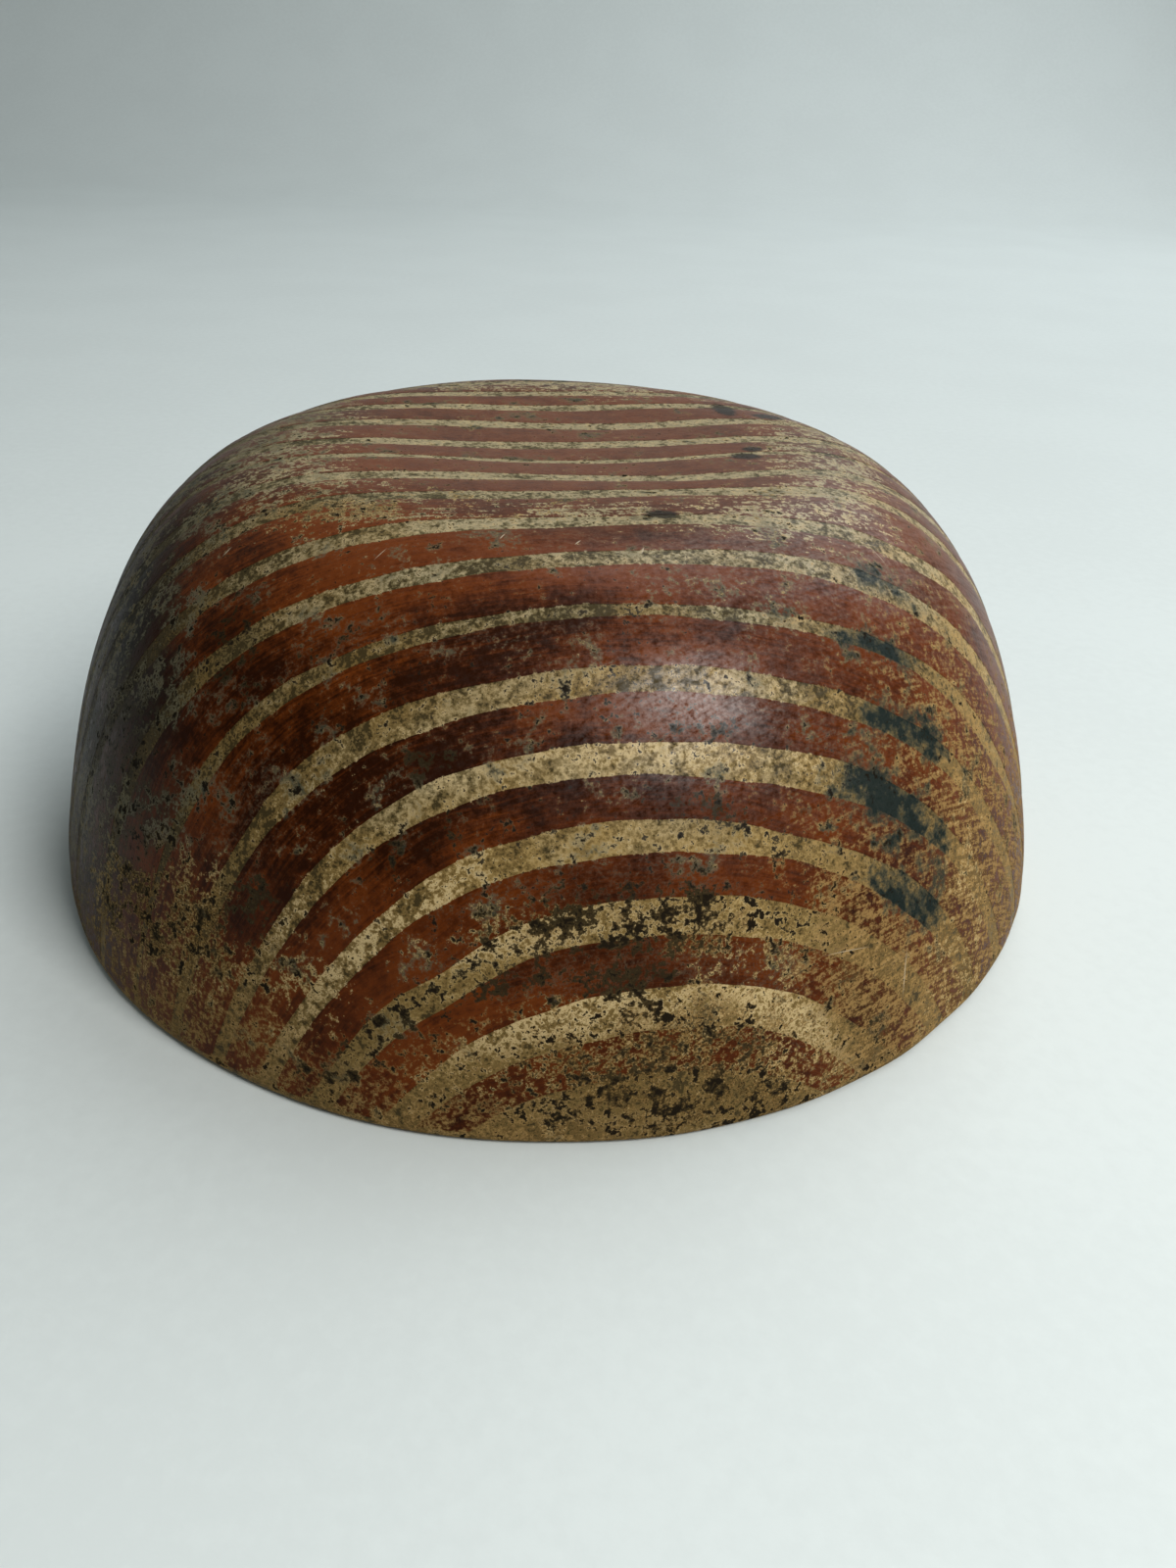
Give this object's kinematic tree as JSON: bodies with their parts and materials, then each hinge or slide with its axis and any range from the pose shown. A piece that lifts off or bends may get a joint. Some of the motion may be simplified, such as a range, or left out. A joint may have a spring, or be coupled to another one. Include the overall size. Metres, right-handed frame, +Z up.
{
  "type": "pottery bowl",
  "caption": "Round, flat-based, hand-built earthenware bowl with steep sides and slanting painted stripes, standing mouth down.",
  "frame": {"origin": "middle of the mouth, on the plane that the rim rests on", "axes": "+Z up through the middle of the base, as the bowl stands mouth down; the painted stripes run roughly along X"},
  "size_m": [0.2398, 0.2398, 0.0967],
  "materials": {
    "clay": "worn cream slip over fired clay, dull, stained and speckled",
    "red_slip": "burnished red-brown slip, satin, scratched and mottled"
  },
  "bodies": {
    "root": {"clay_body": "clay", "red_slip_stripe_01": "red_slip", "red_slip_stripe_02": "red_slip", "red_slip_stripe_03": "red_slip", "red_slip_stripe_04": "red_slip", "red_slip_stripe_05": "red_slip", "red_slip_stripe_06": "red_slip", "red_slip_stripe_07": "red_slip", "red_slip_stripe_08": "red_slip", "red_slip_stripe_09": "red_slip", "red_slip_stripe_10": "red_slip", "red_slip_stripe_11": "red_slip", "red_slip_stripe_12": "red_slip", "red_slip_stripe_13": "red_slip", "red_slip_stripe_14": "red_slip", "red_slip_stripe_15": "red_slip", "red_slip_stripe_16": "red_slip", "red_slip_stripe_17": "red_slip", "red_slip_stripe_18": "red_slip", "red_slip_stripe_19": "red_slip", "red_slip_stripe_20": "red_slip", "red_slip_stripe_21": "red_slip", "red_slip_stripe_22": "red_slip", "red_slip_stripe_23": "red_slip", "red_slip_stripe_24": "red_slip"}
  },
  "joints": []
}
